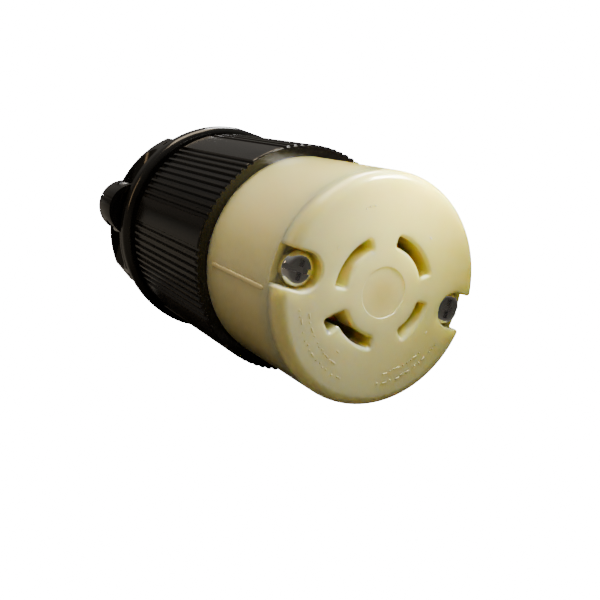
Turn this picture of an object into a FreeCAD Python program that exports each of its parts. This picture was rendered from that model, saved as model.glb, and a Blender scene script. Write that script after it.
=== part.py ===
import FreeCAD, Part
import math
import os
import PartDesign
import Sketcher

# A four-slot locking cord connector: an ivory front body that takes the plug, and a ribbed black
# back shell with a cord clamp behind it.
# Origin: centre of the mating face. +Y runs back along the axis towards the cord, +X is to the
# right of someone facing the slots, +Z is up. The two assembly screws lie on the X axis.
# Angles are measured in the XZ plane from +X towards +Z. Lengths are millimetres.

# ------------------------------------------------------------------ driving dimensions

DIMENSIONS = (
    ("body_radius", 28.0, "outside of the ivory front body"),
    ("face_edge_round", 2.8, "rounding between the mating face and the side"),
    ("seam_y", 4.7, "joint line between face cap and contact carrier"),
    ("seam_chamfer", 0.1, "small chamfer on both sides of the joint line"),
    ("cap_spigot_radius", 26.0, "part of the face cap that sits inside the carrier"),
    ("cap_rear_y", 8.0, "rear of the face cap"),
    ("seat_gap", 0.05, "gap between nested mouldings"),
    ("slot_inner_radius", 10.75, "inner wall of the blade slots"),
    ("slot_outer_radius", 13.45, "outer wall of the blade slots"),
    ("slot_corner_round", 0.6, "rounded corners of the slots"),
    ("hook_corner_round", 1.1, "rounded inner corner of the ground hook"),
    ("slot_mouth_round", 0.9, "rounding at the mouth of the slots"),
    ("hot_x_from", 31.0, "upper right slot"),
    ("hot_x_to", 91.0, "upper right slot"),
    ("hot_y_from", 126.0, "upper left slot"),
    ("hot_y_to", 186.0, "upper left slot"),
    ("neutral_from", -46.0, "lower right slot"),
    ("neutral_to", -1.0, "lower right slot"),
    ("ground_from", -145.5, "lower left slot, with the hook at this end"),
    ("ground_to", -86.5, "lower left slot"),
    ("hook_angle", 11.5, "angle that the ground hook takes up"),
    ("hook_radius", 16.5, "outer end of the ground hook"),
    ("dimple_radius", 6.0, "shallow dimple in the middle of the face"),
    ("dimple_depth", 0.25, "depth of the dimple"),
    ("dimple_round", 0.2, "rounding of the dimple's rim"),
    ("screw_x", 22.4, "assembly screw axis, each side"),
    ("notch_half_width", 4.4, "half width of the notch round each screw head"),
    ("notch_floor_y", 4.95, "face that the screw heads bear on"),
    ("notch_round", 0.7, "rounding of the notch lips"),
    ("screw_hole_radius", 2.35, "clearance hole for the assembly screws"),
    ("shoulder_y", 37.75, "shoulder where the back shell starts"),
    ("spigot_radius", 26.9, "carrier spigot inside the back shell"),
    ("spigot_rear_y", 46.0, "rear end of the carrier spigot"),
    ("spigot_bore", 24.4, "inside of the carrier spigot"),
    ("pocket_floor_y", 28.0, "rear face of the solid part of the carrier"),
    ("pocket_inner_radius", 9.0, "contact pockets, inner wall"),
    ("pocket_outer_radius", 14.8, "contact pockets, outer wall"),
    ("pocket_end_gap", 2.0, "angle that a contact pocket runs past its slot"),
    ("hook_pocket_gap", 0.5, "room round the blade's hook"),
    ("column_inner_radius", 17.6, "inner side of the screw columns"),
    ("column_half_angle", 12.0, "half angle of the screw columns"),
    ("retainer_front_y", 29.5, "front of the terminal retainer"),
    ("retainer_rear_y", 33.0, "rear of its disc"),
    ("retainer_radius", 24.2, "outside of its disc"),
    ("barrier_rear_y", 61.0, "rear end of the barriers between terminals"),
    ("barrier_half_thickness", 1.2, "half thickness of the barriers"),
    ("barrier_reach_x", 16.5, "reach of the barrier towards the screws"),
    ("barrier_reach_z", 23.0, "reach of the other barrier"),
    ("barrier_hub_radius", 6.0, "post in the middle of the barriers"),
    ("contact_front_y", 10.8, "front of the contact jaws"),
    ("contact_base_y", 27.2, "front of the contact base"),
    ("contact_base_rear_y", 29.2, "rear of the contact base"),
    ("contact_inner_radius", 9.3, "inner edge of the contact base"),
    ("jaw_plate_radius", 13.6, "inner face of the fixed contact jaw"),
    ("contact_outer_radius", 14.6, "outer face of the fixed contact jaw"),
    ("contact_end_gap", 1.5, "angle between contact end and slot end"),
    ("strap_inner_radius", 13.4, "inner face of the strap to the terminal"),
    ("strap_half_width", 3.5, "half width of the strap"),
    ("block_inner_radius", 12.6, "inner face of the terminal block"),
    ("block_outer_radius", 16.0, "outer face of the terminal block"),
    ("block_half_width", 4.5, "half width of the terminal block"),
    ("block_front_y", 48.0, "front of the terminal block"),
    ("block_rear_y", 58.0, "rear of the terminal block"),
    ("terminal_y", 53.0, "terminal screw axis"),
    ("thread_clearance", 0.05, "radial gap between a screw and its thread"),
    ("hot_x_terminal", 45.0, "direction of the upper right terminal"),
    ("hot_y_terminal", 135.0, "direction of the upper left terminal"),
    ("neutral_terminal", -45.0, "direction of the lower right terminal"),
    ("ground_terminal", -135.0, "direction of the lower left terminal"),
    ("plate_gap", 0.4, "wire gap left when the terminal screw is home"),
    ("plate_thickness", 1.2, "pressure plate"),
    ("plate_half_width", 4.4, "pressure plate"),
    ("plate_end_gap", 0.4, "how far the plate stops short of the block, each end"),
    ("plate_hole_gap", 0.17, "radial gap round the screw in the plate"),
    ("leaf_inner_radius", 10.0, "inner face of the spring leaf"),
    ("leaf_thickness", 0.6, "spring leaf"),
    ("leaf_crown", 0.35, "raised band on the leaf that wipes the blade"),
    ("leaf_crown_width", 3.0, "raised band on the leaf that wipes the blade"),
    ("leaf_front_y", 12.0, "front end of the leaf"),
    ("leaf_rear_y", 26.3, "rear end of the leaf"),
    ("leaf_half_angle", 17.0, "half angle that the leaf spans"),
    ("leaf_roll_radius", 0.55, "rolled rear edge that the leaf pivots on"),
    ("leaf_roll_half_length", 2.8, "half length of the rolled edge"),
    ("leaf_roll_offset", 0.1, "centre of the rolled edge behind the end of the leaf"),
    ("screw_radius", 2.08, "number 8 machine screw"),
    ("screw_point", 0.5, "chamfer at the end of a screw"),
    ("head_radius", 4.1, "pan head"),
    ("head_height", 2.8, "pan head"),
    ("head_round", 1.3, "rounding of the pan head"),
    ("drive_half_width", 0.6, "half width of the driving slot and cross"),
    ("drive_cross_reach", 2.4, "reach of the cross arms"),
    ("drive_slot_depth", 0.9, "depth of the driving slot"),
    ("drive_cross_depth", 1.7, "depth of the cross"),
    ("assembly_screw_length", 63.5, "two and a half inches under the head"),
    ("clamp_screw_length", 12.7, "half an inch under the head"),
    ("terminal_screw_length", 6.4, "a quarter of an inch under the head"),
    ("grip_radius", 31.1, "tops of the ribs and smooth panels"),
    ("shell_bore", 27.2, "inside of the back shell"),
    ("grip_rear_y", 84.4, "rear end of the ribbed grip"),
    ("grip_front_round", 0.4, "rounding of the front edge of the grip"),
    ("neck_slope", 0.8, "length of the step down from grip to neck"),
    ("neck_radius", 29.5, "valley between grip and flange"),
    ("flange_front_y", 88.5, "front face of the rear flange"),
    ("flange_rear_y", 94.0, "rear face of the rear flange"),
    ("flange_radius", 33.0, "outside of the rear flange"),
    ("flange_round", 2.0, "rounding of the flange"),
    ("flange_flat_depth", 0.35, "flats over and under the flange that keep it from rolling"),
    ("flange_flat_half_width", 8.0, "more than half the width of those flats"),
    ("cord_hole_radius", 12.0, "cord hole through the rear wall"),
    ("cord_hole_round", 0.8, "rounding where the cord leaves the wall"),
    ("bore_rear_y", 82.8, "where the bore starts to close in"),
    ("rear_wall_front_y", 88.0, "inner face of the rear wall"),
    ("rear_wall_radius", 22.0, "inner face of the rear wall"),
    ("groove_depth", 0.8, "depth of the grip grooves"),
    ("groove_half_floor", 0.3, "half width of a groove at its floor"),
    ("groove_half_mouth", 0.75, "half width of a groove at the surface"),
    ("boss_radius", 5.0, "boss round each threaded insert"),
    ("boss_front_y", 50.0, "front of the bosses"),
    ("boss_rear_y", 60.0, "rear of the bosses"),
    ("insert_radius", 3.3, "threaded insert"),
    ("insert_length", 8.0, "threaded insert"),
    ("root", 0.5, "how far an added feature starts inside the body it stands on"),
    ("rail_x", 20.0, "centre of the clamp rails on the rear wall"),
    ("rail_stem_half_width", 1.5, "rail stem"),
    ("rail_head_half_width", 3.0, "rail head"),
    ("rail_head_y", 97.5, "front of the rail head"),
    ("rail_rear_y", 100.5, "rear of the rail head"),
    ("rail_half_length", 17.0, "half length of the rails"),
    ("rail_gap", 0.3, "gap all round the rails"),
    ("jaw_front_y", 94.3, "front of the cord jaws"),
    ("jaw_rear_y", 105.5, "rear of the cord jaws"),
    ("jaw_radius", 32.0, "round outside of the cord jaws"),
    ("jaw_z", -1.2, "height of the centre of that outside"),
    ("jaw_gap", 0.05, "each jaw's distance from the middle plane"),
    ("jaw_top_z", 23.4, "flat on the upper jaw"),
    ("jaw_bottom_z", 24.5, "flat under the lower jaw"),
    ("jaw_corner_x", 25.8, "corner of the lower jaw's bevel"),
    ("jaw_corner_z", 20.1, "corner of the lower jaw's bevel"),
    ("jaw_bevel_x", 19.6, "where that bevel meets the flat"),
    ("core_inner_radius", 13.0, "cored recesses in the rear of the jaws, inner wall"),
    ("core_outer_radius", 20.5, "cored recesses in the rear of the jaws, outer wall"),
    ("core_depth", 2.5, "depth of the cored recesses"),
    ("core_side_from", 22.0, "direction of the side recesses"),
    ("core_side_to", 58.0, "direction of the side recesses"),
    ("core_middle_half_angle", 24.0, "half angle of the middle recess"),
    ("ear_x", 28.4, "centre of the rounded ears"),
    ("ear_z", -1.5, "centre of the rounded ears"),
    ("ear_radius", 8.2, "rounded ears"),
    ("ear_recess_x", 30.2, "cored recess in the front of each ear"),
    ("ear_recess_radius", 5.2, "cored recess in the front of each ear"),
    ("ear_recess_depth", 1.0, "cored recess in the front of each ear"),
    ("clamp_x", 29.5, "clamp screw axis, each side"),
    ("clamp_y", 99.9, "clamp screw axis"),
    ("clamp_hole_radius", 2.35, "clearance hole for the clamp screws"),
    ("clamp_head_z", 3.0, "seat of the clamp screw heads"),
    ("clamp_head_pocket_radius", 4.45, "pocket for the clamp screw heads"),
    ("cord_radius", 9.6, "lands that grip the cord"),
    ("cord_groove_radius", 10.4, "grooves between the lands"),
    ("cord_groove_width", 1.8, "grooves between the lands"),
    ("nut_half_flats", 4.35, "half the width across flats of the nuts"),
    ("nut_height", 3.2, "nut"),
    ("nut_seat_z", -3.4, "upper face of the captive nuts"),
    ("nut_gap", 0.08, "gap round the captive nuts"),
)


class Size:
    """A dimension that carries both its value and the sheet expression that gives it."""

    def __init__(self, value, text):
        self.value = value
        self.text = text

    def __add__(self, other):
        return Size(self.value + value_of(other), "(%s + %s)" % (self.text, text_of(other)))

    def __sub__(self, other):
        return Size(self.value - value_of(other), "(%s - %s)" % (self.text, text_of(other)))

    def __mul__(self, other):
        return Size(self.value * value_of(other), "(%s * %s)" % (self.text, text_of(other)))

    def __neg__(self):
        return Size(-self.value, "(0 - %s)" % self.text)


def value_of(size):
    return size.value if isinstance(size, Size) else float(size)


def text_of(size):
    return size.text if isinstance(size, Size) else repr(float(size))


def cosine(angle):
    return Size(math.cos(math.radians(angle.value)), "cos(%s * 1 deg)" % angle.text)


def sine(angle):
    return Size(math.sin(math.radians(angle.value)), "sin(%s * 1 deg)" % angle.text)


class Dimensions:
    """The driving dimensions by name, each one a Size bound to its cell."""


doc = FreeCAD.newDocument("locking_connector")
sheet = doc.addObject("Spreadsheet::Sheet", "dims")
D = Dimensions()
for row, (alias, number, note) in enumerate(DIMENSIONS, 1):
    sheet.set("A%d" % row, alias)
    sheet.set("B%d" % row, str(number))
    sheet.setAlias("B%d" % row, alias)
    sheet.set("C%d" % row, note)
    setattr(D, alias, Size(number, "dims." + alias))
doc.recompute()

V = FreeCAD.Vector
ACROSS = "XZ_Plane"
SIDE = "YZ_Plane"
PLAN = "XY_Plane"
NORMAL_SIGN = {ACROSS: -1, SIDE: 1, PLAN: 1}
HEX_CORNER = 1 / math.cos(math.radians(30))
PARTS = []


# ------------------------------------------------------------------ sketch and feature helpers

def bind(thing, name, size):
    if isinstance(size, Size):
        thing.setExpression(name, size.text)
    else:
        setattr(thing, name, size)


def new_body(label):
    body = doc.addObject("PartDesign::Body", label)
    body.Label = label
    PARTS.append(body)
    return body


def place(body, x=0.0, y=0.0, z=0.0, rotation=FreeCAD.Rotation()):
    body.Placement = FreeCAD.Placement(V(value_of(x), value_of(y), value_of(z)), rotation)
    for axis, size in (("x", x), ("y", y), ("z", z)):
        if isinstance(size, Size):
            body.setExpression("Placement.Base." + axis, size.text)


def turned(angle):
    """Rotation about the connector's axis, from +X towards +Z."""
    return FreeCAD.Rotation(V(0, -1, 0), value_of(angle))


def new_sketch(body, name, role, offset=0.0, spin=0.0):
    """A sketch on one of the body's origin planes, moved along the axis it faces and turned."""
    plane = [item for item in body.Origin.OriginFeatures if item.Role == role][0]
    sketch = body.newObject("Sketcher::SketchObject", name)
    sketch.AttachmentSupport = [(plane, "")]
    sketch.MapMode = "FlatFace"
    distance = offset if NORMAL_SIGN[role] > 0 else Size(0.0, "0") - offset
    turn = FreeCAD.Rotation(V(0, 0, 1), value_of(spin))
    sketch.AttachmentOffset = FreeCAD.Placement(V(0, 0, value_of(distance)), turn)
    if isinstance(offset, Size):
        sketch.setExpression("AttachmentOffset.Base.z", distance.text)
    return sketch


def constrain(sketch, kind, *where):
    """Add a constraint whose last argument is its size, and bind it to the sheet."""
    size = where[-1]
    value = value_of(size)
    if kind == "Angle":
        value = math.radians(value)
    index = sketch.addConstraint(Sketcher.Constraint(kind, *where[:-1], value))
    if isinstance(size, Size):
        sketch.setExpression("Constraints[%d]" % index, size.text)


def circle(sketch, radius, x=0.0, y=0.0):
    centre = V(value_of(x), value_of(y), 0)
    ring = sketch.addGeometry(Part.Circle(centre, V(0, 0, 1), value_of(radius)), False)
    constrain(sketch, "DistanceX", ring, 3, x)
    constrain(sketch, "DistanceY", ring, 3, y)
    constrain(sketch, "Radius", ring, radius)


def polygon(sketch, points):
    corners = [V(value_of(x), value_of(y), 0) for x, y in points]
    count = len(corners)
    lines = []
    for index in range(count):
        segment = Part.LineSegment(corners[index], corners[(index + 1) % count])
        lines.append(sketch.addGeometry(segment, False))
    for index in range(count):
        after = lines[(index + 1) % count]
        sketch.addConstraint(Sketcher.Constraint("Coincident", lines[index], 2, after, 1))
    for line, (x, y) in zip(lines, points):
        constrain(sketch, "DistanceX", line, 1, x)
        constrain(sketch, "DistanceY", line, 1, y)


def rectangle(sketch, x0, x1, y0, y1):
    polygon(sketch, [(x0, y0), (x1, y0), (x1, y1), (x0, y1)])


def sector(sketch, inner, outer, start, end):
    """A stretch of a ring between two radii and two angles."""
    first = math.radians(value_of(start))
    last = math.radians(value_of(end))

    def corner(radius, angle):
        return V(value_of(radius) * math.cos(angle), value_of(radius) * math.sin(angle), 0)

    def arc(radius):
        ring = Part.Circle(V(0, 0, 0), V(0, 0, 1), value_of(radius))
        return sketch.addGeometry(Part.ArcOfCircle(ring, first, last), False)

    def spoke(angle):
        return sketch.addGeometry(Part.LineSegment(corner(inner, angle), corner(outer, angle)), False)

    outside = arc(outer)
    inside = arc(inner)
    left = spoke(first)
    right = spoke(last)
    joints = ((outside, 3, -1, 1), (inside, 3, -1, 1), (left, 1, inside, 1),
              (left, 2, outside, 1), (right, 1, inside, 2), (right, 2, outside, 2))
    for joint in joints:
        sketch.addConstraint(Sketcher.Constraint("Coincident", *joint))
    constrain(sketch, "Radius", outside, outer)
    constrain(sketch, "Radius", inside, inner)
    constrain(sketch, "Angle", left, start)
    constrain(sketch, "Angle", right, end)


def sign_of(sketch):
    return NORMAL_SIGN[sketch.AttachmentSupport[0][0].Role]


def pad(body, sketch, length, towards=1):
    feature = body.newObject("PartDesign::Pad", sketch.Name + "_pad")
    feature.Profile = sketch
    bind(feature, "Length", length)
    feature.Reversed = towards != sign_of(sketch)
    return feature


def pocket(body, sketch, length, towards=1):
    """Cut the sketch out of the body; a cut that breaks out of a face is drawn 1 mm past it."""
    feature = body.newObject("PartDesign::Pocket", sketch.Name + "_pocket")
    feature.Profile = sketch
    bind(feature, "Length", length)
    feature.Reversed = towards == sign_of(sketch)
    return feature


def turn_profile(body, name, points, kind="Revolution"):
    """Turn a profile of (radius, y) points about the connector's axis."""
    sketch = new_sketch(body, name, PLAN)
    polygon(sketch, points)
    feature = body.newObject("PartDesign::" + kind, name + "_turned")
    feature.Profile = sketch
    feature.ReferenceAxis = (sketch, ["V_Axis"])
    feature.Angle = 360
    return feature


def repeat(body, feature, span, count):
    pattern = body.newObject("PartDesign::PolarPattern", feature.Name + "_repeat")
    pattern.Originals = [feature]
    pattern.Axis = (feature.Profile[0], ["N_Axis"])
    pattern.Angle = span
    pattern.Occurrences = count
    body.Tip = pattern
    return pattern


def dress(body, kind, size, wanted):
    """Fillet or chamfer the edges of the body's tip that wanted() picks."""
    doc.recompute()
    base = body.Tip
    names = ["Edge%d" % (i + 1) for i, edge in enumerate(base.Shape.Edges) if wanted(edge)]
    if not names:
        raise ValueError("no edge to %s on %s" % (kind.lower(), body.Label))
    feature = body.newObject("PartDesign::" + kind, base.Name + "_" + kind.lower())
    feature.Base = (base, names)
    bind(feature, "Radius" if kind == "Fillet" else "Size", size)
    return feature


def near(a, b):
    return abs(a - b) < 1e-3


def rim(radius, y):
    """Picks circular edges of one radius about the connector's axis at one y."""
    def wanted(edge):
        curve = edge.Curve
        if not isinstance(curve, Part.Circle) or not near(curve.Radius, value_of(radius)):
            return False
        centre = curve.Center
        return near(centre.x, 0) and near(centre.z, 0) and near(centre.y, value_of(y))
    return wanted


def either(*tests):
    return lambda edge: any(test(edge) for test in tests)


def upright(corners):
    """Picks straight edges along Y at any of the given (radius, angle) corners."""
    spots = []
    for radius, angle in corners:
        turn = math.radians(value_of(angle))
        spots.append((value_of(radius) * math.cos(turn), value_of(radius) * math.sin(turn)))

    def wanted(edge):
        box = edge.BoundBox
        if not (near(box.XLength, 0) and near(box.ZLength, 0)):
            return False
        return any(near(box.XMin, x) and near(box.ZMin, z) for x, z in spots)
    return wanted


def middle_of(edge):
    return edge.valueAt((edge.FirstParameter + edge.LastParameter) / 2)


# ------------------------------------------------------------------ front body

SLOTS = (
    ("hot_x", D.hot_x_from, D.hot_x_to, D.hot_x_terminal),
    ("hot_y", D.hot_y_from, D.hot_y_to, D.hot_y_terminal),
    ("neutral", D.neutral_from, D.neutral_to, D.neutral_terminal),
    ("ground", D.ground_from, D.ground_to, D.ground_terminal),
)
SIDES = (("left", -1), ("right", 1))


def cut_notches(body, name):
    """The open notch round each assembly screw head, down to the face the heads bear on."""
    for side, sign in SIDES:
        sketch = new_sketch(body, name + "_round_" + side, ACROSS)
        circle(sketch, D.notch_half_width, D.screw_x * sign, 0.0)
        pocket(body, sketch, D.notch_floor_y)
        sketch = new_sketch(body, name + "_mouth_" + side, ACROSS)
        ends = (D.screw_x * sign, (D.body_radius + 1) * sign)
        rectangle(sketch, min(ends, key=value_of), max(ends, key=value_of),
                  -D.notch_half_width, D.notch_half_width)
        pocket(body, sketch, D.notch_floor_y)


def cut_screw_holes(body, name, radius, start_y, length):
    sketch = new_sketch(body, name, ACROSS, start_y)
    for _, sign in SIDES:
        circle(sketch, radius, D.screw_x * sign, 0.0)
    return pocket(body, sketch, length)


def slot_corners():
    """The slot corners that stick into the face, and the one that sticks out beside the hook."""
    hook_end = D.ground_from + D.hook_angle
    hollow = [(D.hook_radius, D.ground_from), (D.hook_radius, hook_end)]
    for name, start, end, _ in SLOTS:
        hollow += [(D.slot_inner_radius, start), (D.slot_inner_radius, end), (D.slot_outer_radius, end)]
        if name != "ground":
            hollow.append((D.slot_outer_radius, start))
    return hollow, [(D.slot_outer_radius, hook_end)]


def slot_mouth(edge):
    box = edge.BoundBox
    middle = middle_of(edge)
    reach = math.hypot(middle.x, middle.z)
    on_face = near(box.YMin, 0) and near(box.YMax, 0)
    return on_face and D.pocket_inner_radius.value < reach < D.column_inner_radius.value


def notch_lip(edge):
    """Picks the edges where a screw notch meets the face and its rounded rim."""
    box = edge.BoundBox
    middle = middle_of(edge)
    in_notch = abs(middle.x) >= D.screw_x.value - D.notch_half_width.value
    in_notch = in_notch and abs(middle.z) < D.notch_half_width.value + D.seat_gap.value
    along_face = not (near(box.XLength, 0) and near(box.ZLength, 0))
    return in_notch and along_face and box.YMax < D.face_edge_round.value + D.seat_gap.value


def face_cap():
    body = new_body("face_cap")
    turn_profile(body, "cap_profile", [
        (0.0, 0.0),
        (D.body_radius, 0.0),
        (D.body_radius, D.seam_y),
        (D.cap_spigot_radius, D.seam_y),
        (D.cap_spigot_radius, D.cap_rear_y),
        (0.0, D.cap_rear_y),
    ])
    dress(body, "Fillet", D.face_edge_round, rim(D.body_radius, 0.0))
    dress(body, "Chamfer", D.seam_chamfer, rim(D.body_radius, D.seam_y))
    for name, start, end, _ in SLOTS:
        sketch = new_sketch(body, name + "_slot", ACROSS)
        sector(sketch, D.slot_inner_radius, D.slot_outer_radius, start, end)
        pocket(body, sketch, D.cap_rear_y)
    sketch = new_sketch(body, "ground_hook", ACROSS)
    within_slot = D.slot_outer_radius - D.slot_corner_round
    sector(sketch, within_slot, D.hook_radius, D.ground_from, D.ground_from + D.hook_angle)
    pocket(body, sketch, D.cap_rear_y)
    cut_notches(body, "cap_notch")
    cut_screw_holes(body, "cap_screw_holes", D.screw_hole_radius, D.notch_floor_y, D.cap_rear_y)
    hollow, jutting = slot_corners()
    dress(body, "Fillet", D.slot_corner_round, upright(hollow))
    dress(body, "Fillet", D.hook_corner_round, upright(jutting))
    dress(body, "Fillet", D.slot_mouth_round, slot_mouth)
    dress(body, "Fillet", D.notch_round, notch_lip)
    sketch = new_sketch(body, "dimple", ACROSS)
    circle(sketch, D.dimple_radius)
    pocket(body, sketch, D.dimple_depth)
    dress(body, "Fillet", D.dimple_round, rim(D.dimple_radius, 0.0))
    return body


def contact_carrier():
    body = new_body("contact_carrier")
    recess_y = D.cap_rear_y + D.seat_gap
    recess_radius = D.cap_spigot_radius + D.seat_gap
    turn_profile(body, "carrier_profile", [
        (0.0, recess_y),
        (recess_radius, recess_y),
        (recess_radius, D.seam_y),
        (D.body_radius, D.seam_y),
        (D.body_radius, D.shoulder_y),
        (D.spigot_radius, D.shoulder_y),
        (D.spigot_radius, D.spigot_rear_y),
        (D.spigot_bore, D.spigot_rear_y),
        (D.spigot_bore, D.pocket_floor_y),
        (0.0, D.pocket_floor_y),
    ])
    dress(body, "Chamfer", D.seam_chamfer, rim(D.body_radius, D.seam_y))
    for side, middle in (("right", 0.0), ("left", 180.0)):
        sketch = new_sketch(body, "column_" + side, ACROSS, D.pocket_floor_y - 1, middle)
        sector(sketch, D.column_inner_radius, D.spigot_bore + 1,
               -D.column_half_angle, D.column_half_angle)
        pad(body, sketch, D.spigot_rear_y - D.pocket_floor_y + 1)
    for name, start, end, _ in SLOTS:
        sketch = new_sketch(body, name + "_pocket", ACROSS)
        sector(sketch, D.pocket_inner_radius, D.pocket_outer_radius,
               start - D.pocket_end_gap, end + D.pocket_end_gap)
        pocket(body, sketch, D.pocket_floor_y)
    sketch = new_sketch(body, "hook_pocket", ACROSS)
    sector(sketch, D.pocket_outer_radius - 1, D.hook_radius + D.hook_pocket_gap,
           D.ground_from - D.pocket_end_gap, D.ground_from + D.hook_angle + D.pocket_end_gap)
    pocket(body, sketch, D.pocket_floor_y)
    cut_notches(body, "carrier_notch")
    cut_screw_holes(body, "carrier_screw_holes", D.screw_hole_radius, 0.0, D.spigot_rear_y + 1)
    return body


def terminal_retainer():
    body = new_body("terminal_retainer")
    turn_profile(body, "retainer_profile", [
        (0.0, D.retainer_front_y),
        (D.retainer_radius, D.retainer_front_y),
        (D.retainer_radius, D.retainer_rear_y),
        (0.0, D.retainer_rear_y),
    ])
    length = D.barrier_rear_y - D.retainer_rear_y
    bars = (("bar_across", D.barrier_reach_x, D.barrier_half_thickness),
            ("bar_upright", D.barrier_half_thickness, D.barrier_reach_z))
    for name, half_x, half_z in bars:
        sketch = new_sketch(body, name, ACROSS, D.retainer_rear_y)
        rectangle(sketch, -half_x, half_x, -half_z, half_z)
        pad(body, sketch, length)
    sketch = new_sketch(body, "hub", ACROSS, D.retainer_rear_y)
    circle(sketch, D.barrier_hub_radius)
    pad(body, sketch, length)
    for side, middle in (("right", 0.0), ("left", 180.0)):
        sketch = new_sketch(body, "column_notch_" + side, ACROSS, D.retainer_front_y - 1, middle)
        sector(sketch, D.column_inner_radius - D.rail_gap, D.retainer_radius + 1,
               -D.column_half_angle - 1, D.column_half_angle + 1)
        pocket(body, sketch, D.retainer_rear_y - D.retainer_front_y + 2)
    sketch = new_sketch(body, "strap_slot", ACROSS, D.retainer_front_y - 1, D.hot_x_terminal)
    rectangle(sketch, D.block_inner_radius - D.rail_gap, D.block_outer_radius + D.rail_gap,
              -D.block_half_width - D.rail_gap, D.block_half_width + D.rail_gap)
    slot = pocket(body, sketch, D.retainer_rear_y - D.retainer_front_y + 2)
    repeat(body, slot, 360, 4)
    return body


# ------------------------------------------------------------------ contacts and terminals

def contact(name, start, end, terminal):
    """A brass contact: curved jaw, base, strap and terminal block, drawn with its terminal at +X."""
    body = new_body(name + "_contact")
    if name == "ground":
        start = start + D.hook_angle
    first = start - terminal + D.contact_end_gap
    last = end - terminal - D.contact_end_gap
    sketch = new_sketch(body, name + "_jaw", ACROSS, D.contact_front_y)
    sector(sketch, D.jaw_plate_radius, D.contact_outer_radius, first, last)
    pad(body, sketch, D.contact_base_rear_y - D.contact_front_y)
    sketch = new_sketch(body, name + "_base", ACROSS, D.contact_base_y)
    sector(sketch, D.contact_inner_radius, D.contact_outer_radius, first, last)
    pad(body, sketch, D.contact_base_rear_y - D.contact_base_y)
    strap_y = D.pocket_floor_y + D.seat_gap
    sketch = new_sketch(body, name + "_strap", ACROSS, strap_y)
    rectangle(sketch, D.strap_inner_radius, D.contact_outer_radius,
              -D.strap_half_width, D.strap_half_width)
    pad(body, sketch, D.block_rear_y - strap_y)
    sketch = new_sketch(body, name + "_block", ACROSS, D.block_front_y)
    rectangle(sketch, D.block_inner_radius, D.block_outer_radius,
              -D.block_half_width, D.block_half_width)
    pad(body, sketch, D.block_rear_y - D.block_front_y)
    sketch = new_sketch(body, name + "_thread", SIDE)
    circle(sketch, D.screw_radius + D.thread_clearance, D.terminal_y, 0.0)
    pocket(body, sketch, D.block_outer_radius + 1)
    place(body, rotation=turned(terminal))
    return body


def spring_leaf(name, start, end):
    """A sprung leaf that presses the blade against the fixed jaw, drawn at +X."""
    body = new_body(name + "_spring_leaf")
    outer = D.leaf_inner_radius + D.leaf_thickness
    sketch = new_sketch(body, name + "_leaf", ACROSS, D.leaf_front_y)
    sector(sketch, D.leaf_inner_radius, outer, -D.leaf_half_angle, D.leaf_half_angle)
    pad(body, sketch, D.leaf_rear_y - D.leaf_front_y)
    sketch = new_sketch(body, name + "_crown", ACROSS, D.leaf_front_y + 1)
    middle = D.leaf_inner_radius + D.leaf_thickness * 0.5
    sector(sketch, middle, outer + D.leaf_crown, -D.leaf_half_angle, D.leaf_half_angle)
    pad(body, sketch, D.leaf_crown_width)
    sketch = new_sketch(body, name + "_roll", PLAN, -D.leaf_roll_half_length)
    circle(sketch, D.leaf_roll_radius, middle, D.leaf_rear_y + D.leaf_roll_offset)
    pad(body, sketch, D.leaf_roll_half_length * 2)
    place(body, rotation=turned((start + end) * 0.5))
    return body


def pressure_plate(name, terminal):
    body = new_body(name + "_pressure_plate")
    sketch = new_sketch(body, name + "_plate", ACROSS, D.block_front_y + D.plate_end_gap)
    inner = D.block_outer_radius + D.plate_gap
    rectangle(sketch, inner, inner + D.plate_thickness, -D.plate_half_width, D.plate_half_width)
    pad(body, sketch, D.block_rear_y - D.block_front_y - D.plate_end_gap * 2)
    sketch = new_sketch(body, name + "_plate_hole", SIDE)
    circle(sketch, D.screw_radius + D.plate_hole_gap, D.terminal_y, 0.0)
    pocket(body, sketch, inner + D.plate_thickness + 1)
    place(body, rotation=turned(terminal))
    return body


# ------------------------------------------------------------------ fasteners

def machine_screw(label, length):
    """A pan-head screw with a combined slot and cross. Its head rests on z = 0 and faces +Z."""
    body = new_body(label)
    tip = D.screw_radius - D.screw_point
    sketch = new_sketch(body, label + "_profile", ACROSS)
    polygon(sketch, [
        (0.0, -length),
        (tip, -length),
        (D.screw_radius, D.screw_point - length),
        (D.screw_radius, 0.0),
        (D.head_radius, 0.0),
        (D.head_radius, D.head_height),
        (0.0, D.head_height),
    ])
    feature = body.newObject("PartDesign::Revolution", label + "_turned")
    feature.Profile = sketch
    feature.ReferenceAxis = (sketch, ["V_Axis"])
    feature.Angle = 360
    top = D.head_height.value
    dress(body, "Fillet", D.head_round,
          lambda edge: near(edge.BoundBox.ZMin, top) and near(edge.BoundBox.ZMax, top))
    sketch = new_sketch(body, label + "_slot", PLAN, D.head_height)
    rectangle(sketch, -D.head_radius, D.head_radius, -D.drive_half_width, D.drive_half_width)
    pocket(body, sketch, D.drive_slot_depth, -1)
    cross = (("cross_a", D.drive_cross_reach, D.drive_half_width),
             ("cross_b", D.drive_half_width, D.drive_cross_reach))
    for name, half_x, half_y in cross:
        sketch = new_sketch(body, label + "_" + name, PLAN, D.head_height)
        rectangle(sketch, -half_x, half_x, -half_y, half_y)
        pocket(body, sketch, D.drive_cross_depth, -1)
    return body


def assembly_screws():
    for side, sign in SIDES:
        body = machine_screw("assembly_screw_" + side, D.assembly_screw_length)
        forward = FreeCAD.Rotation(V(0, 0, 1), V(0, -1, 0))
        place(body, D.screw_x * sign, D.notch_floor_y, 0.0, forward)


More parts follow.
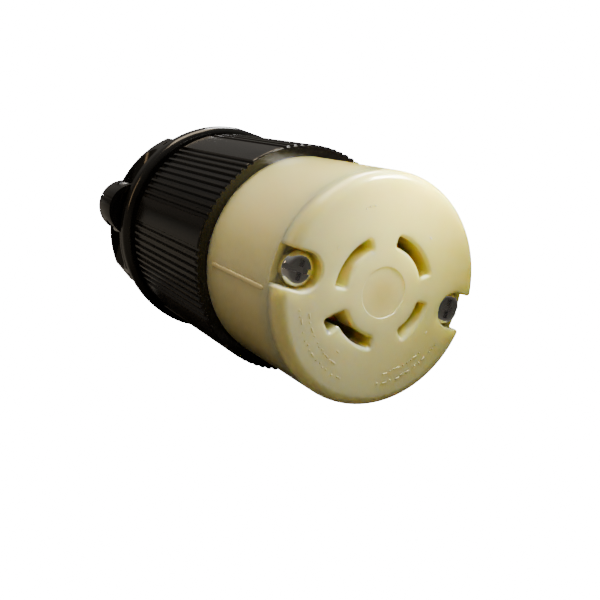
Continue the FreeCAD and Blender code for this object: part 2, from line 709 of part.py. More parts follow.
def terminal_screw(name, terminal):
    body = machine_screw(name + "_terminal_screw", D.terminal_screw_length)
    seat = D.block_outer_radius + D.plate_gap + D.plate_thickness
    x = cosine(terminal) * seat
    z = sine(terminal) * seat
    outward = FreeCAD.Rotation(V(0, 0, 1), V(x.value, 0, z.value))
    place(body, x, D.terminal_y, z, outward)


def clamp_screws():
    for side, sign in SIDES:
        body = machine_screw("clamp_screw_" + side, D.clamp_screw_length)
        place(body, D.clamp_x * sign, D.clamp_y, D.clamp_head_z)


def hexagon(sketch, half_flats, x, y):
    """A hexagon with two flats facing +Y and -Y."""
    corner = half_flats * HEX_CORNER
    half_side = corner * 0.5
    polygon(sketch, [
        (x + corner, y),
        (x + half_side, y + half_flats),
        (x - half_side, y + half_flats),
        (x - corner, y),
        (x - half_side, y - half_flats),
        (x + half_side, y - half_flats),
    ])


def clamp_nuts():
    for side, sign in SIDES:
        body = new_body("clamp_nut_" + side)
        sketch = new_sketch(body, "nut_outline_" + side, PLAN, D.nut_seat_z)
        hexagon(sketch, D.nut_half_flats, D.clamp_x * sign, D.clamp_y)
        pad(body, sketch, D.nut_height, -1)
        sketch = new_sketch(body, "nut_thread_" + side, PLAN, D.nut_seat_z)
        circle(sketch, D.screw_radius + D.thread_clearance, D.clamp_x * sign, D.clamp_y)
        pocket(body, sketch, D.nut_height + 1, -1)


def threaded_inserts():
    for side, sign in SIDES:
        body = new_body("threaded_insert_" + side)
        sketch = new_sketch(body, "insert_outline_" + side, ACROSS, D.boss_front_y + 1)
        circle(sketch, D.insert_radius, D.screw_x * sign, 0.0)
        pad(body, sketch, D.insert_length)
        sketch = new_sketch(body, "insert_thread_" + side, ACROSS, D.boss_front_y)
        circle(sketch, D.screw_radius + D.thread_clearance, D.screw_x * sign, 0.0)
        pocket(body, sketch, D.insert_length + 2)


# ------------------------------------------------------------------ back shell

# Smooth panels lie at the sides and half way up. Each entry is a run of grooves between two
# panels: the angle of the first groove, the angle that the run spans, and how many grooves.
GROOVE_RUNS = (
    (8.0, 34.0, 10),
    (61.0, 58.0, 16),
    (138.0, 34.0, 10),
    (188.0, 34.0, 10),
    (241.0, 58.0, 16),
    (318.0, 34.0, 10),
)


def back_shell():
    body = new_body("back_shell")
    turn_profile(body, "shell_profile", [
        (D.shell_bore, D.shoulder_y),
        (D.grip_radius, D.shoulder_y),
        (D.grip_radius, D.grip_rear_y),
        (D.neck_radius, D.grip_rear_y + D.neck_slope),
        (D.neck_radius, D.flange_front_y),
        (D.flange_radius, D.flange_front_y),
        (D.flange_radius, D.flange_rear_y),
        (D.cord_hole_radius, D.flange_rear_y),
        (D.cord_hole_radius, D.rear_wall_front_y),
        (D.rear_wall_radius, D.rear_wall_front_y),
        (D.shell_bore, D.bore_rear_y),
    ])
    dress(body, "Fillet", D.flange_round, either(rim(D.flange_radius, D.flange_front_y),
                                                 rim(D.flange_radius, D.flange_rear_y)))
    dress(body, "Fillet", D.grip_front_round, rim(D.grip_radius, D.shoulder_y))
    dress(body, "Fillet", D.cord_hole_round, rim(D.cord_hole_radius, D.flange_rear_y))
    sketch = new_sketch(body, "bosses", ACROSS, D.boss_front_y)
    for side, sign in SIDES:
        circle(sketch, D.boss_radius, D.screw_x * sign, 0.0)
    pad(body, sketch, D.boss_rear_y - D.boss_front_y)
    cut_screw_holes(body, "insert_holes", D.insert_radius, D.boss_front_y + 1, D.insert_length)
    cut_screw_holes(body, "boss_holes", D.screw_hole_radius, D.boss_front_y - 1,
                    D.boss_rear_y - D.boss_front_y + 2)
    flat = D.flange_radius - D.flange_flat_depth
    beyond = D.flange_radius + 1
    for where, low, high in (("over", flat, beyond), ("under", -beyond, -flat)):
        sketch = new_sketch(body, "flange_flat_" + where, ACROSS, D.flange_front_y - D.root)
        rectangle(sketch, -D.flange_flat_half_width, D.flange_flat_half_width, low, high)
        pocket(body, sketch, D.flange_rear_y - D.flange_front_y + D.root * 2)
    for side, sign in SIDES:
        sketch = new_sketch(body, "rail_" + side, PLAN, -D.rail_half_length)
        stem = D.rail_stem_half_width
        head = D.rail_head_half_width
        middle = D.rail_x * sign
        polygon(sketch, [
            (middle - stem, D.flange_rear_y - D.root),
            (middle + stem, D.flange_rear_y - D.root),
            (middle + stem, D.rail_head_y),
            (middle + head, D.rail_head_y),
            (middle + head, D.rail_rear_y),
            (middle - head, D.rail_rear_y),
            (middle - head, D.rail_head_y),
            (middle - stem, D.rail_head_y),
        ])
        pad(body, sketch, D.rail_half_length * 2)
    start_y = D.shoulder_y - D.root
    floor = D.grip_radius - D.groove_depth
    for index, (first, span, count) in enumerate(GROOVE_RUNS):
        sketch = new_sketch(body, "groove_%d" % index, ACROSS, start_y, first)
        polygon(sketch, [
            (floor, -D.groove_half_floor),
            (D.grip_radius, -D.groove_half_mouth),
            (D.grip_radius + 1, -D.groove_half_mouth),
            (D.grip_radius + 1, D.groove_half_mouth),
            (D.grip_radius, D.groove_half_mouth),
            (floor, D.groove_half_floor),
        ])
        groove = pocket(body, sketch, D.grip_rear_y - start_y + 1)
        repeat(body, groove, span, count)
    return body


# ------------------------------------------------------------------ cord clamp

def cord_jaw(name, sign):
    """One half of the cord clamp. sign is 1 for the upper jaw and -1 for the lower."""
    body = new_body("cord_jaw_" + name)
    depth = D.jaw_rear_y - D.jaw_front_y
    sketch = new_sketch(body, name + "_disc", ACROSS, D.jaw_front_y)
    circle(sketch, D.jaw_radius, 0.0, D.jaw_z)
    pad(body, sketch, depth)
    sketch = new_sketch(body, name + "_ear_left", ACROSS, D.jaw_front_y)
    circle(sketch, D.ear_radius, -D.ear_x, D.ear_z)
    pad(body, sketch, depth)
    sketch = new_sketch(body, name + "_ear_right", ACROSS, D.jaw_front_y)
    circle(sketch, D.ear_radius, D.ear_x, D.ear_z)
    pad(body, sketch, depth)

    def cut_all(label, points):
        outline = new_sketch(body, name + label, ACROSS, D.jaw_front_y - 1)
        polygon(outline, points)
        pocket(body, outline, depth + 2)

    wide = D.ear_x + D.ear_radius + 1
    far = wide * sign
    middle = D.jaw_gap * sign
    cut_all("_split", [(-wide, middle), (wide, middle), (wide, -far), (-wide, -far)])
    flat = D.jaw_top_z if sign > 0 else -D.jaw_bottom_z
    cut_all("_flat", [(-wide, flat), (wide, flat), (wide, far), (-wide, far)])
    if sign < 0:
        for side, hand in SIDES:
            cut_all("_bevel_" + side, [
                (D.jaw_corner_x * hand, -D.jaw_corner_z),
                (D.jaw_bevel_x * hand, -D.jaw_bottom_z),
                (D.jaw_bevel_x * hand, far),
                (wide * hand, far),
                (wide * hand, -D.jaw_corner_z),
            ])
    sketch = new_sketch(body, name + "_cord", ACROSS, D.jaw_front_y - 1)
    circle(sketch, D.cord_radius)
    pocket(body, sketch, depth + 2)
    for index in (1, 2, 3):
        y = D.jaw_front_y + depth * (index / 4) - D.cord_groove_width * 0.5
        sketch = new_sketch(body, "%s_cord_groove_%d" % (name, index), ACROSS, y)
        circle(sketch, D.cord_groove_radius)
        pocket(body, sketch, D.cord_groove_width)
    for side, hand in SIDES:
        sketch = new_sketch(body, name + "_ear_recess_" + side, ACROSS, D.jaw_front_y)
        circle(sketch, D.ear_recess_radius, D.ear_recess_x * hand, D.ear_z)
        pocket(body, sketch, D.ear_recess_depth)
        sketch = new_sketch(body, name + "_rail_slot_" + side, PLAN, -wide)
        stem = D.rail_stem_half_width + D.rail_gap
        head = D.rail_head_half_width + D.rail_gap
        centre = D.rail_x * hand
        polygon(sketch, [
            (centre - stem, D.jaw_front_y - 1),
            (centre + stem, D.jaw_front_y - 1),
            (centre + stem, D.rail_head_y - D.rail_gap),
            (centre + head, D.rail_head_y - D.rail_gap),
            (centre + head, D.rail_rear_y + D.rail_gap),
            (centre - head, D.rail_rear_y + D.rail_gap),
            (centre - head, D.rail_head_y - D.rail_gap),
            (centre - stem, D.rail_head_y - D.rail_gap),
        ])
        pocket(body, sketch, wide * 2, 1)
        sketch = new_sketch(body, name + "_screw_hole_" + side, PLAN, -wide)
        circle(sketch, D.clamp_hole_radius, D.clamp_x * hand, D.clamp_y)
        pocket(body, sketch, wide * 2, 1)
        if sign > 0:
            sketch = new_sketch(body, name + "_head_pocket_" + side, PLAN, D.clamp_head_z)
            circle(sketch, D.clamp_head_pocket_radius, D.clamp_x * hand, D.clamp_y)
            pocket(body, sketch, wide, 1)
        else:
            sketch = new_sketch(body, name + "_nut_pocket_" + side, PLAN, D.nut_seat_z)
            hexagon(sketch, D.nut_half_flats + D.nut_gap, D.clamp_x * hand, D.clamp_y)
            pocket(body, sketch, wide, -1)
    half = D.core_middle_half_angle
    spans = ((D.core_side_from, D.core_side_to), (-half + 90, half + 90),
             (-D.core_side_to + 180, -D.core_side_from + 180))
    for index, (start, end) in enumerate(spans):
        ends = (start, end) if sign > 0 else (-end, -start)
        sketch = new_sketch(body, "%s_core_%d" % (name, index), ACROSS, D.jaw_rear_y - D.core_depth)
        sector(sketch, D.core_inner_radius, D.core_outer_radius, *ends)
        pocket(body, sketch, D.core_depth + 1)
    return body


# ------------------------------------------------------------------ build, check, write

def build():
    face_cap()
    contact_carrier()
    terminal_retainer()
    for name, start, end, terminal in SLOTS:
        contact(name, start, end, terminal)
        spring_leaf(name, start, end)
        pressure_plate(name, terminal)
        terminal_screw(name, terminal)
    assembly_screws()
    back_shell()
    threaded_inserts()
    cord_jaw("upper", 1)
    cord_jaw("lower", -1)
    clamp_screws()
    clamp_nuts()
    doc.recompute()


def check():
    for item in doc.Objects:
        if "Invalid" in item.State or "Error" in item.State:
            raise RuntimeError("%s did not build: %s" % (item.Name, item.State))
    for body in PARTS:
        if body.Shape.isNull() or not body.Shape.isValid():
            raise RuntimeError("%s has a bad shape" % body.Label)


def write():
    os.makedirs("parts", exist_ok=True)
    for body in PARTS:
        body.Shape.exportStep("parts/%s.step" % body.Label)
        box = body.Shape.BoundBox
        print("%-26s %9.1f mm3  x %6.1f %6.1f  y %6.1f %6.1f  z %6.1f %6.1f  solids %d" % (
            body.Label, body.Shape.Volume, box.XMin, box.XMax, box.YMin, box.YMax,
            box.ZMin, box.ZMax, len(body.Shape.Solids)))


build()
check()
write()
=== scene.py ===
import math
import random

import bmesh
import bpy
from mathutils import Matrix, Vector


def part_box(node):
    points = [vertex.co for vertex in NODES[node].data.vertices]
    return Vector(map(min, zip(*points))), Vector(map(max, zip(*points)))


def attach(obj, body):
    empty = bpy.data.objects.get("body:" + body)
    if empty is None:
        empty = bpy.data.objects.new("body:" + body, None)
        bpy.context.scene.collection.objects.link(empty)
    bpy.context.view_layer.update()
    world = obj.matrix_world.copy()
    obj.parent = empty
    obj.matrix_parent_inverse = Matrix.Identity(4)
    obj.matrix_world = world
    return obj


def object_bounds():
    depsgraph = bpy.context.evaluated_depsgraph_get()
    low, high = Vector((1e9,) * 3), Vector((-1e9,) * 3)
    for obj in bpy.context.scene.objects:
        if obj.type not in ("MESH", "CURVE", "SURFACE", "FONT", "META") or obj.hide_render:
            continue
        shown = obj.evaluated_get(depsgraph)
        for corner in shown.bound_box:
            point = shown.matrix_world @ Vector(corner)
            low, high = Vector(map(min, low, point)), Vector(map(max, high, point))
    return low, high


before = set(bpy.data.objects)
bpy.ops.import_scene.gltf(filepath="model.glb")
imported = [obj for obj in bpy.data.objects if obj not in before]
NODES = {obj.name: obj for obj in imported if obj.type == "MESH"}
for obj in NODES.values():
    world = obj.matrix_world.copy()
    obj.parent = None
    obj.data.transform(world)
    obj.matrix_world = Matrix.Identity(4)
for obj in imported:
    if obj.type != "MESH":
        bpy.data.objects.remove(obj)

# Looks for a locking cord connector. Metres, in the CAD frame: the mating face is at y = 0 and
# faces -Y, the cord end is towards +Y, +Z is up and the two assembly screws lie on the X axis.

MM = 0.001
BOX_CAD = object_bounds()
SLOTS = ("hot_x", "hot_y", "neutral", "ground")
FRONT_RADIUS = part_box("contact_carrier")[1].x

# ------------------------------------------------------------------ camera and studio

CAMERA_PLACE = Vector((-0.11372, -0.14162, 0.01006))
CAMERA_FORWARD = Vector((0.54306, 0.83425, -0.09543))
CAMERA_DOWN = Vector((0.19458, -0.23558, -0.95218))
CAMERA_LENS = 47.08
SENSOR_WIDTH = 36.0
PAPER_WHITE = 20.0
ROOM_STRENGTH = 0.30
FLOOR_HALF_WIDTH = 12.0
FLOOR_GAP = 0.2 * MM


def make_camera():
    """Looks at the mating face from its left, as steeply as the fitted camera did."""
    data = bpy.data.cameras.new("camera")
    data.lens = CAMERA_LENS
    data.sensor_width = SENSOR_WIDTH
    data.clip_start = 0.01
    data.clip_end = 50.0
    camera = bpy.data.objects.new("camera", data)
    bpy.context.scene.collection.objects.link(camera)
    back = -CAMERA_FORWARD.normalized()
    right = (-CAMERA_DOWN).cross(back).normalized()
    up = back.cross(right).normalized()
    turn = Matrix((right, up, back)).transposed()
    camera.matrix_world = Matrix.Translation(CAMERA_PLACE) @ turn.to_4x4()
    bpy.context.scene.camera = camera


def area_light(name, place, target, size, power, color=(1.0, 1.0, 1.0), spread=180.0):
    """A soft lamp at place that faces target and that the camera doesn't see."""
    data = bpy.data.lights.new(name, "AREA")
    data.shape = "RECTANGLE"
    data.size, data.size_y = size
    data.energy = power
    data.spread = math.radians(spread)
    data.color = color
    light = bpy.data.objects.new(name, data)
    bpy.context.scene.collection.objects.link(light)
    light.location = place
    light.visible_camera = False
    light.rotation_mode = "QUATERNION"
    light.rotation_quaternion = (Vector(target) - Vector(place)).to_track_quat("-Z", "Y")


def make_world():
    """Plain white to the eye, and a dim warm room with a pale ceiling for light and reflections."""
    world = bpy.data.worlds.new("studio")
    world.use_nodes = True
    bpy.context.scene.world = world
    tree = world.node_tree
    tree.nodes.clear()
    output = tree.nodes.new("ShaderNodeOutputWorld")
    mix = tree.nodes.new("ShaderNodeMixShader")
    path = tree.nodes.new("ShaderNodeLightPath")
    seen = tree.nodes.new("ShaderNodeBackground")
    seen.inputs["Color"].default_value = (1.0, 1.0, 1.0, 1.0)
    seen.inputs["Strength"].default_value = PAPER_WHITE
    room = tree.nodes.new("ShaderNodeBackground")
    room.inputs["Strength"].default_value = ROOM_STRENGTH
    ramp = tree.nodes.new("ShaderNodeValToRGB")
    stops = ((0.0, (0.24, 0.21, 0.17)), (0.42, (0.17, 0.15, 0.13)), (0.56, (0.30, 0.27, 0.23)),
             (0.75, (0.66, 0.64, 0.60)), (1.0, (1.3, 1.28, 1.22)))
    elements = ramp.color_ramp.elements
    while len(elements) < len(stops):
        elements.new(0.5)
    for element, (place, color) in zip(elements, stops):
        element.position = place
        element.color = (*color, 1.0)
    coords = tree.nodes.new("ShaderNodeTexCoord")
    split = tree.nodes.new("ShaderNodeSeparateXYZ")
    lift = tree.nodes.new("ShaderNodeMapRange")
    lift.inputs["From Min"].default_value = -1.0
    lift.inputs["From Max"].default_value = 1.0
    link = tree.links.new
    link(coords.outputs["Generated"], split.inputs["Vector"])
    link(split.outputs["Z"], lift.inputs["Value"])
    link(lift.outputs["Result"], ramp.inputs["Fac"])
    link(ramp.outputs["Color"], room.inputs["Color"])
    link(path.outputs["Is Camera Ray"], mix.inputs["Fac"])
    link(room.outputs["Background"], mix.inputs[1])
    link(seen.outputs["Background"], mix.inputs[2])
    link(mix.outputs["Shader"], output.inputs["Surface"])


def make_floor():
    """A wide floor under the lowest point: paper white to the eye, dim in light and reflections."""
    height = BOX_CAD[0].z - FLOOR_GAP
    mesh = bpy.data.meshes.new("floor")
    corners = [(FLOOR_HALF_WIDTH * x, FLOOR_HALF_WIDTH * y, height)
               for x, y in ((-1, -1), (1, -1), (1, 1), (-1, 1))]
    mesh.from_pydata(corners, [], [(0, 1, 2, 3)])
    floor = bpy.data.objects.new("floor", mesh)
    bpy.context.scene.collection.objects.link(floor)
    material, shader, tree = new_material("floor_white")
    shader.inputs["Base Color"].default_value = (0.09, 0.085, 0.075, 1.0)
    shader.inputs["Roughness"].default_value = 0.9
    shader.inputs["Specular IOR Level"].default_value = 0.1
    path = tree.nodes.new("ShaderNodeLightPath")
    glow = tree.nodes.new("ShaderNodeEmission")
    glow.inputs["Strength"].default_value = PAPER_WHITE
    pick = tree.nodes.new("ShaderNodeMixShader")
    tree.links.new(path.outputs["Is Camera Ray"], pick.inputs["Fac"])
    tree.links.new(shader.outputs["BSDF"], pick.inputs[1])
    tree.links.new(glow.outputs["Emission"], pick.inputs[2])
    tree.links.new(pick.outputs["Shader"], tree.nodes["Material Output"].inputs["Surface"])
    mesh.materials.append(material)


# ------------------------------------------------------------------ material helpers

def new_material(name):
    material = bpy.data.materials.new(name)
    material.use_nodes = True
    tree = material.node_tree
    return material, tree.nodes["Principled BSDF"], tree


def object_coords(tree):
    return tree.nodes.new("ShaderNodeTexCoord").outputs["Object"]


def noise(tree, scale, detail=3.0, roughness=0.5, stretch=None):
    """Noise in object space. scale is in features per metre; stretch squeezes it along the axes."""
    vector = object_coords(tree)
    if stretch:
        mapping = tree.nodes.new("ShaderNodeMapping")
        mapping.inputs["Scale"].default_value = stretch
        tree.links.new(vector, mapping.inputs["Vector"])
        vector = mapping.outputs["Vector"]
    node = tree.nodes.new("ShaderNodeTexNoise")
    node.inputs["Scale"].default_value = scale
    node.inputs["Detail"].default_value = detail
    node.inputs["Roughness"].default_value = roughness
    tree.links.new(vector, node.inputs["Vector"])
    return node.outputs["Fac"]


def remap(tree, value, low, high, start=0.3, end=0.7):
    """Stretch start to end over low to high. The defaults suit noise, which stays near its middle."""
    node = tree.nodes.new("ShaderNodeMapRange")
    node.inputs["From Min"].default_value = start
    node.inputs["From Max"].default_value = end
    node.inputs["To Min"].default_value = low
    node.inputs["To Max"].default_value = high
    tree.links.new(value, node.inputs["Value"])
    return node.outputs["Result"]


def axis_distance(tree, start, end):
    """0 within start of the connector's axis and 1 beyond end."""
    flatten = tree.nodes.new("ShaderNodeVectorMath")
    flatten.operation = "MULTIPLY"
    flatten.inputs[1].default_value = (1.0, 0.0, 1.0)
    length = tree.nodes.new("ShaderNodeVectorMath")
    length.operation = "LENGTH"
    tree.links.new(object_coords(tree), flatten.inputs[0])
    tree.links.new(flatten.outputs["Vector"], length.inputs[0])
    return remap(tree, length.outputs["Value"], 0.0, 1.0, start, end)


def painted_glow_slant(tree, reach):
    """Mask of the painted glow: 0 at the lower left of the connector and 1 at its upper right, over reach
    either way.
    """
    node = tree.nodes.new("ShaderNodeVectorMath")
    node.operation = "DOT_PRODUCT"
    node.inputs[1].default_value = (math.sqrt(0.5), 0.0, math.sqrt(0.5))
    tree.links.new(object_coords(tree), node.inputs[0])
    return remap(tree, node.outputs["Value"], 0.0, 1.0, -reach, reach)


def blend_colors(tree, factor, first, second):
    node = tree.nodes.new("ShaderNodeMix")
    node.data_type = "RGBA"
    for socket, color in (("A", first), ("B", second)):
        target = [s for s in node.inputs if s.name == socket and s.type == "RGBA"][0]
        if isinstance(color, tuple):
            target.default_value = (*color, 1.0)
        else:
            tree.links.new(color, target)
    tree.links.new(factor, node.inputs["Factor"])
    return [s for s in node.outputs if s.type == "RGBA"][0]


def bump(tree, shader, height, strength, distance):
    node = tree.nodes.new("ShaderNodeBump")
    node.inputs["Strength"].default_value = strength
    node.inputs["Distance"].default_value = distance
    tree.links.new(height, node.inputs["Height"])
    tree.links.new(node.outputs["Normal"], shader.inputs["Normal"])


# ------------------------------------------------------------------ materials

def ivory_nylon():
    """Glossy translucent nylon, with a painted glow that turns it yellower at its upper right and painted
    shade that darkens it round the axis.
    """
    material, shader, tree = new_material("ivory_nylon")
    # Painted glow: the colour turns yellower towards the upper right, standing in for light shining
    # through the plastic from behind.
    glow_painted_base = blend_colors(tree, painted_glow_slant(tree, 22.0 * MM), (0.82, 0.76, 0.42), (0.83, 0.72, 0.15))
    clouds = remap(tree, noise(tree, 160.0, 4.0), 0.0, 0.3)
    color = blend_colors(tree, clouds, glow_painted_base, (0.84, 0.77, 0.32))
    # Painted shade: the colour darkens towards the axis, standing in for less light shining through the
    # face where the hub sits behind it.
    painted_centre_shade = blend_colors(tree, axis_distance(tree, 1.5 * MM, 7.0 * MM), (0.70, 0.59, 0.20), color)
    tree.links.new(painted_centre_shade, shader.inputs["Base Color"])
    smear = noise(tree, 260.0, 4.0, 0.6, (1.0, 0.35, 1.0))
    tree.links.new(remap(tree, smear, 0.14, 0.24), shader.inputs["Roughness"])
    shader.inputs["IOR"].default_value = 1.53
    shader.inputs["Subsurface Weight"].default_value = 1.0
    shader.inputs["Subsurface Radius"].default_value = (1.0, 0.82, 0.36)
    shader.inputs["Subsurface Scale"].default_value = 0.008
    shader.inputs["Coat Weight"].default_value = 0.4
    shader.inputs["Coat Roughness"].default_value = 0.05
    bump(tree, shader, noise(tree, 340.0, 3.0), 0.12, 0.00006)
    return material


def raised_ivory():
    """The same nylon for details too thin to scatter light inside."""
    material, shader, tree = new_material("raised_ivory")
    color = blend_colors(tree, remap(tree, noise(tree, 160.0, 4.0), 0.0, 1.0),
                         (0.80, 0.72, 0.36), (0.84, 0.77, 0.42))
    tree.links.new(color, shader.inputs["Base Color"])
    shader.inputs["Roughness"].default_value = 0.16
    shader.inputs["IOR"].default_value = 1.53
    bump(tree, shader, noise(tree, 520.0, 3.0), 0.10, 0.00004)
    return material


def natural_nylon():
    """Milky unpainted nylon, for the retainer inside."""
    material, shader, tree = new_material("natural_nylon")
    color = blend_colors(tree, remap(tree, noise(tree, 120.0), 0.0, 1.0),
                         (0.72, 0.71, 0.66), (0.79, 0.78, 0.73))
    tree.links.new(color, shader.inputs["Base Color"])
    shader.inputs["Roughness"].default_value = 0.45
    shader.inputs["Subsurface Weight"].default_value = 0.3
    shader.inputs["Subsurface Scale"].default_value = 0.002
    bump(tree, shader, noise(tree, 900.0), 0.15, 0.00005)
    return material


def black_nylon():
    """Black glass-filled nylon: glossy, with fine moulded grain and faint flow streaks."""
    material, shader, tree = new_material("black_nylon")
    streaks = noise(tree, 420.0, 4.0, 0.6, (1.0, 0.18, 1.0))
    color = blend_colors(tree, remap(tree, streaks, 0.0, 1.0), (0.0045, 0.0041, 0.0036),
                         (0.0085, 0.0076, 0.0064))
    tree.links.new(color, shader.inputs["Base Color"])
    tree.links.new(remap(tree, noise(tree, 900.0, 4.0), 0.14, 0.18), shader.inputs["Roughness"])
    shader.inputs["IOR"].default_value = 1.50
    bump(tree, shader, noise(tree, 900.0, 2.0), 0.04, 0.00002)
    return material


def metal(name, light, dark, roughness):
    """Plated or bare metal with fine scratches and slightly uneven tone."""
    material, shader, tree = new_material(name)
    color = blend_colors(tree, remap(tree, noise(tree, 270.0, 4.0), 0.0, 1.0), light, dark)
    tree.links.new(color, shader.inputs["Base Color"])
    scratches = noise(tree, 900.0, 5.0, 0.7)
    low, high = roughness
    tree.links.new(remap(tree, scratches, low, high), shader.inputs["Roughness"])
    shader.inputs["Metallic"].default_value = 1.0
    bump(tree, shader, scratches, 0.08, 0.00002)
    return material


def green_dip():
    """The green coat on the ground terminal's screw."""
    material, shader, tree = new_material("green_dip")
    color = blend_colors(tree, remap(tree, noise(tree, 500.0), 0.0, 1.0),
                         (0.02, 0.20, 0.07), (0.03, 0.28, 0.10))
    tree.links.new(color, shader.inputs["Base Color"])
    shader.inputs["Metallic"].default_value = 0.6
    shader.inputs["Roughness"].default_value = 0.30
    shader.inputs["Coat Weight"].default_value = 0.5
    bump(tree, shader, noise(tree, 1200.0), 0.1, 0.00002)
    return material


ALREADY_ROUNDED = ("face_cap", "contact_carrier", "back_shell")
WELD_DISTANCE = 0.002 * MM
JAW_ROUNDING = 0.4 * MM
METAL_ROUNDING = 0.08 * MM
SHARP_ANGLE = math.radians(35)


def dress_nodes(ivory, black):
    """Give every CAD node its material, and round the sharp edges of the jaws and metal parts."""
    brass = metal("stamped_brass", (0.83, 0.62, 0.28), (0.66, 0.45, 0.18), (0.22, 0.40))
    bronze = metal("phosphor_bronze", (0.76, 0.50, 0.30), (0.60, 0.37, 0.20), (0.20, 0.35))
    zinc = metal("zinc_plate", (0.70, 0.71, 0.73), (0.52, 0.54, 0.57), (0.20, 0.38))
    chrome = metal("bright_nickel", (0.80, 0.80, 0.80), (0.66, 0.66, 0.67), (0.05, 0.13))
    looks = {
        "face_cap": ivory, "contact_carrier": ivory, "terminal_retainer": natural_nylon(),
        "back_shell": black, "cord_jaw_upper": black, "cord_jaw_lower": black,
        "assembly_screw_left": chrome, "assembly_screw_right": chrome,
        "clamp_screw_left": zinc, "clamp_screw_right": zinc,
        "clamp_nut_left": zinc, "clamp_nut_right": zinc,
        "threaded_insert_left": brass, "threaded_insert_right": brass,
    }
    heads = {"hot_x": brass, "hot_y": brass, "neutral": zinc, "ground": green_dip()}
    for slot in SLOTS:
        looks[slot + "_contact"] = brass
        looks[slot + "_spring_leaf"] = bronze
        looks[slot + "_pressure_plate"] = zinc
        looks[slot + "_terminal_screw"] = heads[slot]
    for name, material in looks.items():
        node = NODES[name]
        node.data.materials.clear()
        node.data.materials.append(material)
        if name in ALREADY_ROUNDED:
            continue
        weld = node.modifiers.new("weld", "WELD")
        weld.merge_threshold = WELD_DISTANCE
        rounding = node.modifiers.new("rounding", "BEVEL")
        rounding.width = JAW_ROUNDING if "jaw" in name else METAL_ROUNDING
        rounding.segments = 3
        rounding.limit_method = "ANGLE"
        rounding.angle_limit = SHARP_ANGLE
        rounding.harden_normals = True


# ------------------------------------------------------------------ raised details
# Here lengths are millimetres and angles are degrees from +X towards +Z.

MARK_SEED = 14
MARK_WOBBLE = 0.25
MARK_RISE = 0.14
MARK_WIDTH = 0.44
MARK_LENGTHS = (0.46, 0.46, 1.3)
MARK_GAPS = (2.6, 3.1, 3.1, 5.0)
# Each row of marks: its first and last angle and its radius.
MARK_ROWS = ((202, 258, 22.4), (207, 250, 20.0), (286, 336, 22.2), (292, 326, 19.9), (118, 128, 20.6))
SLOT_MARK_ANGLES = (61, 156, -23, -116)
SLOT_MARK_RADIUS = 17.4
SLOT_MARK_LENGTH = 0.9
PARTING_ANGLES = (193.0, 13.0)
PARTING_MIDDLE = 20.5
# Length, width and rise.
PARTING_SIZE = (27.0, 1.1, 0.28)
BAR_CORNERS = 16
# Each ring of a bar's side: its height as a share of the rise, and its width as a share of the bar's.
BAR_PROFILE = ((-0.5, 1.0), (0.45, 1.0), (0.85, 0.86), (1.0, 0.60))


def raised_bars(name, bars, material):
    """One mesh of pillow-topped bars, each (centre, along, across, out, length, width, rise) in metres."""
    shape = bmesh.new()
    for centre, along, across, out, length, width, rise in bars:
        rings = []
        for depth, shrink in BAR_PROFILE:
            corners = []
            for step in range(BAR_CORNERS):
                turn = 2 * math.pi * step / BAR_CORNERS
                end = (length - width) / 2 * (1 if math.cos(turn) > 0 else -1)
                reach = along * (end + math.cos(turn) * width / 2 * shrink)
                spread = across * (math.sin(turn) * width / 2 * shrink)
                corners.append(shape.verts.new(centre + reach + spread + out * (rise * depth)))
            rings.append(corners)
        for lower, upper in zip(rings, rings[1:]):
            for i in range(BAR_CORNERS):
                j = (i + 1) % BAR_CORNERS
                shape.faces.new((lower[i], lower[j], upper[j], upper[i]))
        shape.faces.new(rings[-1])
        shape.faces.new(list(reversed(rings[0])))
    bmesh.ops.recalc_face_normals(shape, faces=shape.faces)
    mesh = bpy.data.meshes.new(name)
    shape.to_mesh(mesh)
    shape.free()
    for face in mesh.polygons:
        face.use_smooth = True
    piece = bpy.data.objects.new(name, mesh)
    bpy.context.scene.collection.objects.link(piece)
    mesh.materials.append(material)
    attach(piece, "front_body")


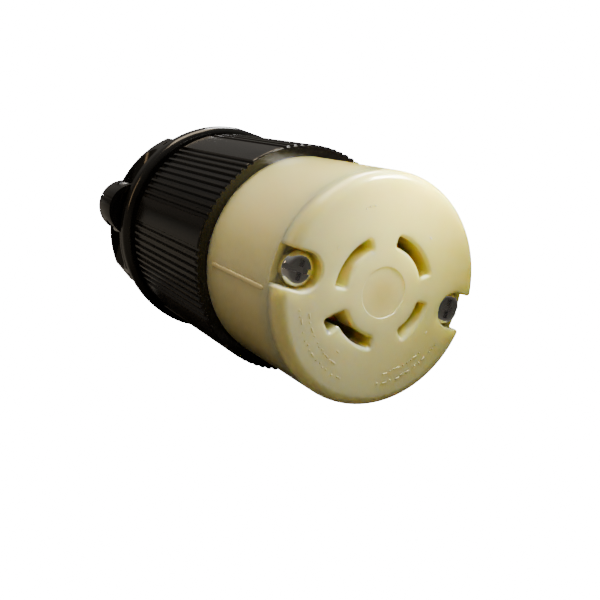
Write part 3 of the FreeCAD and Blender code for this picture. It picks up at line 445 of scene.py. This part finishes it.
def face_bar(radius, angle, length):
    """A bar on the mating face, drawn round the axis."""
    turn = math.radians(angle)
    outward = Vector((math.cos(turn), 0.0, math.sin(turn)))
    around = Vector((-math.sin(turn), 0.0, math.cos(turn)))
    return (outward * radius * MM, around, outward, Vector((0.0, -1.0, 0.0)),
            length * MM, MARK_WIDTH * MM, MARK_RISE * MM)


def face_marks(material):
    """Generic raised pips and dashes in arcs near the rim and beside the slots."""
    pick = random.Random(MARK_SEED)
    bars = []
    for start, end, radius in MARK_ROWS:
        angle = start
        while angle < end:
            length = pick.choice(MARK_LENGTHS)
            wobble = pick.uniform(-MARK_WOBBLE, MARK_WOBBLE)
            bars.append(face_bar(radius + wobble, angle, length))
            angle += pick.choice(MARK_GAPS) + length
    for angle in SLOT_MARK_ANGLES:
        bars.append(face_bar(SLOT_MARK_RADIUS, angle, SLOT_MARK_LENGTH))
    raised_bars("face_marks", bars, material)


def parting_line(material):
    """The thin raised mould line along each side of the front body."""
    bars = []
    length, width, rise = (size * MM for size in PARTING_SIZE)
    for angle in PARTING_ANGLES:
        turn = math.radians(angle)
        out = Vector((math.cos(turn), 0.0, math.sin(turn)))
        across = Vector((-math.sin(turn), 0.0, math.cos(turn)))
        centre = out * FRONT_RADIUS + Vector((0.0, PARTING_MIDDLE * MM, 0.0))
        bars.append((centre, Vector((0.0, 1.0, 0.0)), across, out, length, width, rise))
    raised_bars("parting_line", bars, material)


# ------------------------------------------------------------------ assembly

make_camera()
make_world()
make_floor()
area_light("ceiling", (-0.14, 0.08, 0.40), (0.0, 0.03, 0.0), (0.26, 0.26), 2.0, (1.0, 0.82, 0.58))
area_light("window", (0.07, 0.36, 0.78), (0.0, 0.09, 0.02), (0.26, 0.26), 7.5)
area_light("side_card", (-0.55, 0.04, 0.06), (0.0, 0.09, 0.02), (0.12, 0.25), 0.38, (1.0, 0.68, 0.36))
area_light("lamp", (0.008, -0.019, 0.058), (0.0, 0.0, 0.026), (0.024, 0.016), 0.034,
           (1.0, 0.98, 0.88), 80.0)
dress_nodes(ivory_nylon(), black_nylon())
RAISED = raised_ivory()
face_marks(RAISED)
parting_line(RAISED)
